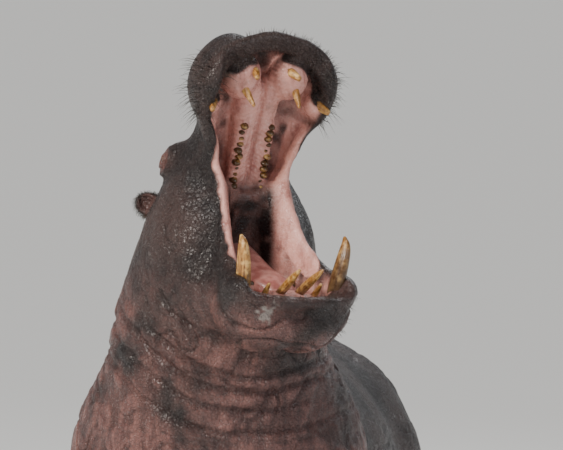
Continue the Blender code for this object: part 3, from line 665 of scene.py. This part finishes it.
dark = mix(tree, ramp(tree, speckle, 0.52, 0.85, 0.0, 0.6), dark, (0.080, 0.055, 0.045, 1))
pinkish = mix(tree, ramp(tree, streaks, 0.35, 0.7), (0.125, 0.056, 0.050, 1), (0.25, 0.115, 0.098, 1))
outer = mix(tree, share_of(tree, "pink"), dark, pinkish)
cracked = ramp(tree, plate_edges, 0.0, 0.14)
# Painted shade: the hide is darkened down the creases of the folds and wrinkles
outer = mix(tree, ramp(tree, share_of(tree, "crease_shade"), 0.25, 1.2, 0.0, 0.55), outer, (0.012, 0.009, 0.009, 1))
# Painted shade: a lighter darkening in the cracks between the plates, the same cracks that drive the bump
outer = mix(tree, product(tree, rest_of(tree, cracked), 0.25), outer, (0.014, 0.010, 0.010, 1))
gum = mix(tree, ramp(tree, streaks, 0.42, 0.75), (0.62, 0.30, 0.25, 1), (0.33, 0.12, 0.10, 1))
gum = mix(tree, ramp(tree, speckle, 0.50, 0.80), gum, (0.74, 0.46, 0.40, 1))
stains = noise(tree, place, 17.0, 4.0, 0.6)
gum = mix(tree, ramp(tree, stains, 0.55, 0.75, 0.0, 0.55), gum, (0.16, 0.070, 0.048, 1))
# Painted shade down the gullet
gum = mix(tree, share_of(tree, "gullet_shade"), gum, (0.008, 0.003, 0.003, 1))
outer = mix(tree, share_of(tree, "mud"), outer, (0.36, 0.34, 0.31, 1))
tree.links.new(mix(tree, share_of(tree, "gum"), outer, gum), shader.inputs["Base Color"])
tree.links.new(ramp(tree, speckle, 0.35, 0.75, 0.22, 0.50), shader.inputs["Roughness"])
shader.inputs["Specular IOR Level"].default_value = 0.38
height = sum_of(tree, product(tree, cracked, 0.55), product(tree, ramp(tree, grain_edges, 0.0, 0.12), 0.25))
height = product(tree, height, rest_of(tree, product(tree, share_of(tree, "gum"), 0.75)))
height = sum_of(tree, height, product(tree, speckle, 0.35))
bump = node(tree, "Bump", Height=height, Strength=0.8, Distance=0.0045)
tree.links.new(bump.outputs[0], shader.inputs["Normal"])


def piece(name, mesh, material, slot, *nodes):
    """A mesh stood in its place on the model, in place of these solids."""
    made = bpy.data.objects.new(name, mesh)
    bpy.context.scene.collection.objects.link(made)
    mesh.materials.clear()
    mesh.materials.append(material)
    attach(made, "root")
    if nodes:
        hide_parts(*nodes)


FLESH_NODES = ["trunk", "neck", "head", "lower_jaw", "tail", "ear_left", "ear_right"]
FLESH_NODES += [f"leg_{pair}_{side}" for pair in ("fore", "hind") for side in ("left", "right")]
piece("hide", hide_mesh, wet_hide, "hide", *FLESH_NODES)


# ------------------------------------------------------------ eyes
# Wet brown balls with a dark pupil drawn out level, each held in its turret by the two lids.

eye_wet, tree, shader = paint("wet eye")
look = node(tree, "TexCoord").outputs["Object"]
sides = node(tree, "SeparateXYZ", i0=look)


def off_axis(level_way):
    """Distance from the line of sight, where level_way is how far off it a spot lies along the level of the eye."""
    flat = node(tree, "CombineXYZ", i0=0.0, i1=level_way, i2=sides.outputs[2]).outputs[0]
    return node(tree, "VectorMath", {"operation": "LENGTH"}, i0=flat).outputs[1]


round_pupil, iris = off_axis(product(tree, sides.outputs[1], 0.62)), off_axis(sides.outputs[1])
flecks = ramp(tree, noise(tree, look, 180.0), 0.3, 0.7)
eye_colour = mix(tree, flecks, (0.085, 0.035, 0.012, 1), (0.20, 0.095, 0.035, 1))
eye_colour = mix(tree, ramp(tree, iris, 0.0135, 0.0165), eye_colour, (0.15, 0.075, 0.06, 1))
eye_colour = mix(tree, ramp(tree, round_pupil, 0.0045, 0.0060), (0.003, 0.003, 0.004, 1), eye_colour)
tree.links.new(eye_colour, shader.inputs["Base Color"])
shader.inputs["Roughness"].default_value = 0.08
shader.inputs["Coat Weight"].default_value = 1.0
shader.inputs["Coat Roughness"].default_value = 0.02

for word, side in (("left", 1), ("right", -1)):
    shape = bmesh.new()
    bmesh.ops.create_uvsphere(shape, u_segments=48, v_segments=32, radius=EYE_RADIUS)
    mesh = bpy.data.meshes.new(f"eyeball {word}")
    shape.to_mesh(mesh)
    shape.free()
    mesh.shade_smooth()
    eyeball = bpy.data.objects.new(f"eyeball_{word}", mesh)
    bpy.context.scene.collection.objects.link(eyeball)
    axes = eye_axes().transposed()
    mirrored = Matrix.Diagonal((1, side, 1))
    look_way = UPPER.turn @ mirrored @ Vector(axes.col[0])
    level_way = UPPER.turn @ mirrored @ Vector(axes.col[1])
    turned = Matrix((look_way, level_way, look_way.cross(level_way))).transposed()
    middle = UPPER.place((EYE_SPOT[0], EYE_SPOT[1] * side, EYE_SPOT[2])) + STAND
    eyeball.matrix_world = Matrix.Translation(middle) @ turned.to_4x4()
    mesh.materials.append(eye_wet)
    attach(eyeball, "root")
    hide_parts(f"eye_{word}")


# ------------------------------------------------------------ tusks and incisors
# Ivory worn smooth and stained brown-gold by weed and mud, ridged lengthwise, and darkest where it leaves the gum.
# The lower tusks curve up outside the upper ones; the middle incisors of the lower jaw lie forward like pegs.

ivory, tree, shader = paint("stained ivory")
place = node(tree, "TexCoord").outputs["Object"]
along, around = share_of(tree, "along"), share_of(tree, "around")
blotches = noise(tree, place, 45.0, 5.0, 0.6)
unrolled = node(tree, "CombineXYZ", i0=product(tree, around, 14.0), i1=product(tree, along, 1.6), i2=0.0).outputs[0]
grain = node(tree, "TexNoise", {"noise_dimensions": "2D"}, Vector=unrolled, Scale=2.0, Detail=4.0).outputs[0]
ivory_colour = mix(tree, ramp(tree, grain, 0.35, 0.65), (0.13, 0.050, 0.012, 1), (0.46, 0.22, 0.055, 1))
ivory_colour = mix(tree, ramp(tree, blotches, 0.45, 0.7), ivory_colour, (0.62, 0.38, 0.13, 1))
stained = ramp(tree, sum_of(tree, along, product(tree, blotches, 0.4)), 0.30, 0.75, 0.92, 0.0)
ivory_colour = mix(tree, stained, ivory_colour, (0.040, 0.020, 0.010, 1))
tree.links.new(ivory_colour, shader.inputs["Base Color"])
tree.links.new(ramp(tree, blotches, 0.3, 0.7, 0.20, 0.42), shader.inputs["Roughness"])
height = sum_of(tree, grain, product(tree, blotches, 0.3))
bump = node(tree, "Bump", Height=height, Strength=0.5, Distance=0.002)
tree.links.new(bump.outputs[0], shader.inputs["Normal"])

# Each tooth from root to tip: forward, left, up, half-width and half-thickness, for the left side
LOWER_TUSK = [
    (0.440, 0.178, -0.300, 0.036, 0.024), (0.450, 0.184, -0.200, 0.038, 0.024), (0.462, 0.194, -0.110, 0.034, 0.021),
    (0.462, 0.202, -0.050, 0.024, 0.016), (0.446, 0.205, -0.015, 0.007, 0.005),
]
LOWER_INNER_INCISOR = [
    (0.400, 0.036, -0.262, 0.017, 0.015), (0.470, 0.038, -0.205, 0.016, 0.015),
    (0.545, 0.042, -0.150, 0.014, 0.012), (0.600, 0.045, -0.112, 0.005, 0.004),
]
LOWER_OUTER_INCISOR = [
    (0.420, 0.096, -0.255, 0.012, 0.011), (0.465, 0.100, -0.210, 0.011, 0.010), (0.492, 0.103, -0.178, 0.006, 0.005),
]
UPPER_INNER_INCISOR = [
    (0.560, 0.066, -0.030, 0.016, 0.014), (0.558, 0.074, -0.085, 0.016, 0.014), (0.552, 0.084, -0.125, 0.010, 0.008),
]
UPPER_OUTER_INCISOR = [
    (0.510, 0.106, -0.020, 0.016, 0.013), (0.490, 0.100, -0.085, 0.016, 0.013), (0.455, 0.090, -0.150, 0.006, 0.005),
]
UPPER_TUSK = [
    (0.445, 0.190, 0.000, 0.024, 0.020), (0.440, 0.208, -0.060, 0.023, 0.019), (0.425, 0.232, -0.115, 0.010, 0.008),
]
TEETH = [
    ("tusk_lower", LOWER, LOWER_TUSK), ("incisor_lower_inner", LOWER, LOWER_INNER_INCISOR),
    ("incisor_lower_outer", LOWER, LOWER_OUTER_INCISOR), ("incisor_upper_inner", UPPER, UPPER_INNER_INCISOR),
    ("incisor_upper_outer", UPPER, UPPER_OUTER_INCISOR), ("tusk_upper", UPPER, UPPER_TUSK),
]


def ringed(name, rows, broad, sides, wobble=0.0, salt=1):
    """A closed solid of oval rings. Each row is a centre, a half-width along the broad way and a half-thickness."""
    centres = [Vector(row[:3]) for row in rows]
    points, along, around = [], [], []
    for place, row in enumerate(rows):
        before, after = centres[max(place - 1, 0)], centres[min(place + 1, len(rows) - 1)]
        ahead = (after - before).normalized()
        thin_way = ahead.cross(broad).normalized()
        broad_way = thin_way.cross(ahead)
        for step in range(sides):
            turn = math.tau * step / sides
            ridge = 1 + wobble * (math.sin(5 * turn + salt) + 0.6 * math.sin(9 * turn + 2 * salt))
            spot = centres[place] + (
                broad_way * math.cos(turn) * row[3] + thin_way * math.sin(turn) * row[4]
            ) * ridge
            points.append(spot)
            along.append(place / (len(rows) - 1))
            around.append(abs(step / sides * 2 - 1))
    first, last = len(points), len(points) + 1
    points += [centres[0], centres[-1] + (centres[-1] - centres[-2]).normalized() * rows[-1][4] * 0.6]
    along += [0, 1]
    around += [0.5, 0.5]
    ring = np.arange(sides)
    turned = (ring + 1) % sides
    quads = np.concatenate([
        np.stack([row * sides + ring, row * sides + turned, (row + 1) * sides + turned, (row + 1) * sides + ring], 1)
        for row in range(len(rows) - 1)
    ])
    base = (len(rows) - 1) * sides
    ends = np.concatenate([
        np.stack([turned, ring, np.full(sides, first)], 1),
        np.stack([base + ring, base + turned, np.full(sides, last)], 1),
    ])
    mesh = mesh_of(name, np.array([tuple(spot) for spot in points]), [quads, ends])
    shape = bmesh.new()
    shape.from_mesh(mesh)
    bmesh.ops.recalc_face_normals(shape, faces=shape.faces)
    shape.to_mesh(mesh)
    shape.free()
    mark(mesh, "along", along)
    mark(mesh, "around", around)
    return mesh


for name, jaw_held, tooth in TEETH:
    for word, side in (("left", 1), ("right", -1)):
        rows = [
            (*(jaw_held.place((row[0], row[1] * side, row[2])) + STAND), row[3], row[4])
            for row in smooth_path(tooth, 10)
        ]
        mesh = ringed(f"{name} {word}", rows, jaw_held.forward, 40, 0.018, 3 if side > 0 else 5)
        if name == "tusk_lower" and side > 0:
            # The left lower tusk is stained dark nearly to its tip
            along = np.empty(len(mesh.vertices), np.float32)
            mesh.attributes["along"].data.foreach_get("value", along)
            mesh.attributes["along"].data.foreach_set("value", along * 0.45)
        piece(f"{name}_{word}_ivory", mesh, ivory, "ivory", f"{name}_{word}")


# ------------------------------------------------------------ cheek teeth
# A row of short worn grinders along each side of the palate and of the lower jaw, each with two low cusps.

for word, jaw_held, aside, first, spacing, count, up in (
    ("upper", UPPER, 0.055, 0.06, 0.045, 7, -0.034), ("lower", LOWER, 0.080, 0.08, 0.046, 6, -0.212)
):
    shape = bmesh.new()
    for side in (1, -1):
        for number in range(count):
            for cusp in (-0.0105, 0.0105):
                size = 0.84 + 0.22 * math.sin(number * 2.3 + side + cusp * 90)
                stray = 0.004 * math.sin(number * 5.1 + 2 * side + cusp * 160)
                middle = jaw_held.place((first + spacing * number + cusp, (aside + stray) * side, up - stray)) + STAND
                sizes = Matrix.Diagonal((0.0135 * size, 0.0165 * size, 0.025 * size))
                turned = Matrix.Translation(middle) @ (jaw_held.turn @ sizes).to_4x4()
                bmesh.ops.create_icosphere(shape, subdivisions=3, radius=1, matrix=turned)
    mesh = bpy.data.meshes.new(f"cheek teeth {word}")
    shape.to_mesh(mesh)
    shape.free()
    mesh.shade_smooth()
    mark(mesh, "along", 0.16 + 0.25 * np.sin([vert.co.z * 90 + vert.co.x * 60 for vert in mesh.vertices]))
    mark(mesh, "around", np.full(len(mesh.vertices), 0.5))
    piece(f"cheek_teeth_{word}", mesh, ivory, "ivory")


# ------------------------------------------------------------ tongue
# A thick pad of muscle lying on the floor of the lower jaw, wet pink, ridged lengthwise and blunt in front.

TONGUE = [
    (0.000, 0.0, -0.120, 0.055, 0.030), (0.050, 0.0, -0.150, 0.070, 0.050), (0.200, 0.0, -0.205, 0.085, 0.052),
    (0.330, 0.0, -0.218, 0.080, 0.042), (0.400, 0.0, -0.228, 0.045, 0.022),
]
rows = [(*(LOWER.place(row[:3]) + STAND), row[3], row[4]) for row in smooth_path(TONGUE, 14)]
tongue_mesh = ringed("tongue", rows, LOWER.left, 96, 0.020, 2)
tongue_wet, tree, shader = paint("wet tongue")
place = node(tree, "TexCoord").outputs["Object"]
papillae = node(tree, "TexVoronoi", {"feature": "F1"}, Vector=place, Scale=260.0).outputs[0]
flush = noise(tree, place, 24.0, 5.0, 0.6)
tongue_colour = mix(tree, ramp(tree, flush, 0.35, 0.7), (0.30, 0.095, 0.080, 1), (0.56, 0.26, 0.22, 1))
tree.links.new(tongue_colour, shader.inputs["Base Color"])
shader.inputs["Roughness"].default_value = 0.30
shader.inputs["Coat Weight"].default_value = 0.4
shader.inputs["Coat Roughness"].default_value = 0.15
bump = node(tree, "Bump", Height=sum_of(tree, papillae, flush), Strength=0.5, Distance=0.002)
tree.links.new(bump.outputs[0], shader.inputs["Normal"])
piece("tongue_flesh", tongue_mesh, tongue_wet, "tongue_flesh", "tongue")


# ------------------------------------------------------------ hooves
# Four broad nails of dark horn round the front of each foot, growing down out of the hide over the toes.

horn, tree, shader = paint("dull horn")
place = node(tree, "TexCoord").outputs["Object"]
layers = node(tree, "TexNoise", Vector=stretched(tree, place, (1.0, 1.0, 9.0)), Scale=22.0, Detail=4.0).outputs[0]
horn_colour = mix(tree, ramp(tree, layers, 0.35, 0.65), (0.025, 0.020, 0.017, 1), (0.105, 0.082, 0.066, 1))
tree.links.new(horn_colour, shader.inputs["Base Color"])
tree.links.new(ramp(tree, layers, 0.3, 0.7, 0.38, 0.62), shader.inputs["Roughness"])
bump = node(tree, "Bump", Height=layers, Strength=0.5, Distance=0.002)
tree.links.new(bump.outputs[0], shader.inputs["Normal"])

for pair in ("fore", "hind"):
    for word, side in (("left", 1), ("right", -1)):
        x, y = heel(pair == "fore", side)
        for toe, angle in enumerate(TOE_ANGLES, 1):
            shape = bmesh.new()
            spot = Vector(toe_spot((x, y), angle, TOE_REACH + 0.034, 0.045)) + STAND
            bmesh.ops.create_uvsphere(shape, u_segments=32, v_segments=20, radius=1)
            for vert in shape.verts:
                vert.co.y *= 1 - 0.25 * vert.co.z
                vert.co.x *= 1 - 0.12 * vert.co.z
            nail = Matrix.Rotation(angle, 4, "Z") @ Matrix.Diagonal((0.037, 0.025, 0.040, 1))
            bmesh.ops.transform(shape, matrix=Matrix.Translation(spot) @ nail, verts=shape.verts)
            for vert in shape.verts:
                vert.co.z = max(vert.co.z, 0.001)
            mesh = bpy.data.meshes.new(f"nail {pair} {word} {toe}")
            shape.to_mesh(mesh)
            shape.free()
            mesh.shade_smooth()
            piece(f"nail_{pair}_{word}_{toe}", mesh, horn, "hoof", f"hoof_{pair}_{word}_{toe}")


# ------------------------------------------------------------ bristles
# Coarse dark whiskers stand out of the lip pads and the chin, short hair fringes the ears, and a sparse brush of
# bristles grows along the end of the tail. Each is a thin tapering horn hair that droops a little under its weight.

bristle_dark, tree, shader = paint("dark bristle")
place = node(tree, "TexCoord").outputs["Object"]
faded = ramp(tree, noise(tree, place, 40.0), 0.4, 0.7)
bristle_colour = mix(tree, faded, (0.010, 0.008, 0.007, 1), (0.060, 0.042, 0.030, 1))
tree.links.new(bristle_colour, shader.inputs["Base Color"])
shader.inputs["Roughness"].default_value = 0.45
PATCH = 0.003
chance = np.random.default_rng(11)
hide_out = outward(hide_mesh)


def bristles(name, grows, count, lengths, thickness, lie, unwrap):
    """Bristles out of the hide where it grows them. lie is the way they lean, and unwrap gives each root's place.

    In the UV map each bristle is one small patch, as wide as PATCH, at its root's place.
    """
    roots = np.nonzero(grows)[0]
    roots = chance.choice(roots, min(count, len(roots)), replace=False)
    root, normal = at[:, roots].T, hide_out[:, roots].T
    way = normal + np.asarray(lie) * 0.45 + chance.normal(0, 0.20, root.shape)
    way /= np.linalg.norm(way, axis=1)[:, None]
    across = np.cross(way, [0.31, 0.52, 0.79])
    across /= np.linalg.norm(across, axis=1)[:, None]
    over = np.cross(way, across)
    length = chance.uniform(*lengths, len(roots))[:, None]
    rings, sides = 5, 4
    points = np.empty((len(roots), rings, sides, 3))
    for ring in range(rings):
        share = ring / (rings - 1)
        middle = root + way * (length * share - 0.003) - np.array([0, 0, 0.22]) * length * share**2
        for step in range(sides):
            turn = math.tau * step / sides
            ring_way = across * math.cos(turn) + over * math.sin(turn)
            points[:, ring, step] = middle + ring_way * thickness * (1 - 0.88 * share)
    first = np.arange(len(roots))[:, None] * rings * sides
    quads = []
    for ring in range(rings - 1):
        for step in range(sides):
            here, turned = ring * sides + step, ring * sides + (step + 1) % sides
            quads.append([here, turned, turned + sides, here + sides])
    quads += [[3, 2, 1, 0], [(rings - 1) * sides + step for step in range(sides)]]
    faces = (first[:, :, None] + np.array(quads)[None]).reshape(-1, 4)
    mesh = mesh_of(name, points.reshape(-1, 3) + np.array(STAND), [faces])
    patch = np.repeat(np.asarray(unwrap(at[:, roots])).T, rings * sides, axis=0)
    corners = np.meshgrid(np.arange(rings) / rings, np.arange(sides) / sides, indexing="ij")
    spread = patch + PATCH * np.tile(np.stack(corners, -1).reshape(-1, 2), (len(roots), 1))
    mesh.uv_layers.new(name="OFBake").data.foreach_set("uv", spread[faces.ravel()].astype(np.float32).ravel())
    piece(name, mesh, bristle_dark, "hide")


def round_jaw(held):
    """The hide about a jaw rolled out flat: once round it, and along it."""
    def rolled_out(points):
        q = held.local(points)
        return 0.5 + 0.99 * np.arctan2(q[1], q[2] + 0.05) / math.tau, np.clip((q[0] + 0.25) / 1.0, 0, 0.99)
    return rolled_out


def along_tail(points):
    return 0.5 + 0.99 * np.arctan2(points[0], points[1] - 2.56) / math.tau, np.clip((1.2 - points[2]) / 0.6, 0, 0.99)


high, low = UPPER.local(at), LOWER.local(at)
bare = in_mouth < 0.05
pad = bare & (high[0] > 0.36) & (high[2] < 0.09) & (np.abs(high[1]) < 0.33)
rim = pad & (upper_lip_off < 0.012)
bristles("whiskers_upper_lip", rim, 900, (0.012, 0.034), 0.0009, UPPER.forward, round_jaw(UPPER))
cheek_pad = pad & (high[0] < 0.60) & (np.abs(high[1]) > 0.13)
bristles("whiskers_long", cheek_pad, 300, (0.030, 0.070), 0.0010, -UPPER.forward * 0.4, round_jaw(UPPER))
chin = bare & (low[0] > 0.36) & (low[2] < -0.17) & (low[2] > -0.44)
bristles("whiskers_chin", chin, 520, (0.008, 0.028), 0.0009, LOWER.forward * 0.5, round_jaw(LOWER))
ear_spot = from_ear(at)
ear_edge = (np.abs(np.hypot(ear_spot[0] / 0.054, ear_spot[1] / 0.043) - 0.98) < 0.16) & (np.abs(ear_spot[2]) < 0.03)
ear_edge = ear_edge & (ear_spot[0] > -0.03)
bristles("ear_fringe", ear_edge, 1100, (0.010, 0.022), 0.0007, -UPPER.forward * 0.3, round_jaw(UPPER))
tail_end = (at[1] > 2.52) & (at[2] < 0.92) & (np.abs(at[0]) < 0.06)
bristles("tail_brush", tail_end, 420, (0.030, 0.065), 0.0010, (0, 0, -1.6), along_tail)


# ------------------------------------------------------------ floor, light and camera
# The model stands on a plain pale floor under three large soft lamps and a soft light from overhead.

shape = bmesh.new()
bmesh.ops.create_grid(shape, x_segments=1, y_segments=1, size=400)
mesh = bpy.data.meshes.new("floor")
shape.to_mesh(mesh)
shape.free()
floor = bpy.data.objects.new("floor", mesh)
bpy.context.scene.collection.objects.link(floor)
pale, tree, shader = paint("pale floor")
shader.inputs["Base Color"].default_value = (0.80, 0.80, 0.79, 1)
shader.inputs["Roughness"].default_value = 0.8
mesh.materials.append(pale)


def lamp(name, spot, aim, size, power, colour):
    light = bpy.data.lights.new(name, "AREA")
    light.shape = "RECTANGLE"
    light.size, light.size_y = size
    light.energy = power
    light.color = colour
    made = bpy.data.objects.new(name, light)
    made.location = spot
    made.rotation_euler = (Vector(aim) - Vector(spot)).to_track_quat("-Z", "Y").to_euler()
    bpy.context.scene.collection.objects.link(made)


lamp("key", (-4.4, -6.0, 4.6), (0.1, -0.8, 1.8), (1.8, 1.8), 520, (1.0, 0.94, 0.86))
lamp("fill", (5.0, -4.2, 3.2), (0.2, -0.6, 1.6), (3.5, 3.0), 110, (0.86, 0.93, 1.0))
lamp("back", (2.0, 5.5, 5.5), (0.0, 0.3, 1.4), (4.0, 2.5), 160, (0.95, 0.97, 1.0))
overhead = bpy.data.lights.new("overhead", "SUN")
overhead.energy = 2.3
overhead.angle = math.radians(25)
overhead.color = (1.0, 0.97, 0.93)
made = bpy.data.objects.new("overhead", overhead)
made.rotation_euler = Vector((0.45, 0.55, -0.85)).to_track_quat("-Z", "Y").to_euler()
bpy.context.scene.collection.objects.link(made)

world = bpy.data.worlds.new("soft room")
world.use_nodes = True
world.node_tree.nodes["Background"].inputs[0].default_value = (0.78, 0.80, 0.82, 1)
world.node_tree.nodes["Background"].inputs[1].default_value = 0.34
bpy.context.scene.world = world

AZIMUTH, ELEVATION, DISTANCE = math.radians(8), math.radians(4), 18.0
FRAME_WIDTH, FRAME_HEIGHT, PIXELS_PER_METRE = 563, 450, 280.0
HINGE_COLUMN, HINGE_ROW = 235.5, 213
right = Vector((math.cos(AZIMUTH), math.sin(AZIMUTH), 0))
ahead = Vector((-math.sin(AZIMUTH), math.cos(AZIMUTH), 0))
look = (ahead * math.cos(ELEVATION) - Vector((0, 0, math.sin(ELEVATION)))).normalized()
above = right.cross(look).normalized()
from_hinge = right * ((FRAME_WIDTH / 2 - HINGE_COLUMN) / PIXELS_PER_METRE)
from_hinge -= above * ((FRAME_HEIGHT / 2 - HINGE_ROW) / PIXELS_PER_METRE)
eye_of_camera = HINGE + STAND + from_hinge - look * DISTANCE
lens = bpy.data.cameras.new("camera")
lens.sensor_width = 36
lens.lens = lens.sensor_width * DISTANCE * PIXELS_PER_METRE / FRAME_WIDTH
lens.clip_end = 1000
camera = bpy.data.objects.new("camera", lens)
camera.location = eye_of_camera
camera.rotation_euler = look.to_track_quat("-Z", "Y").to_euler()
bpy.context.scene.collection.objects.link(camera)
bpy.context.scene.camera = camera
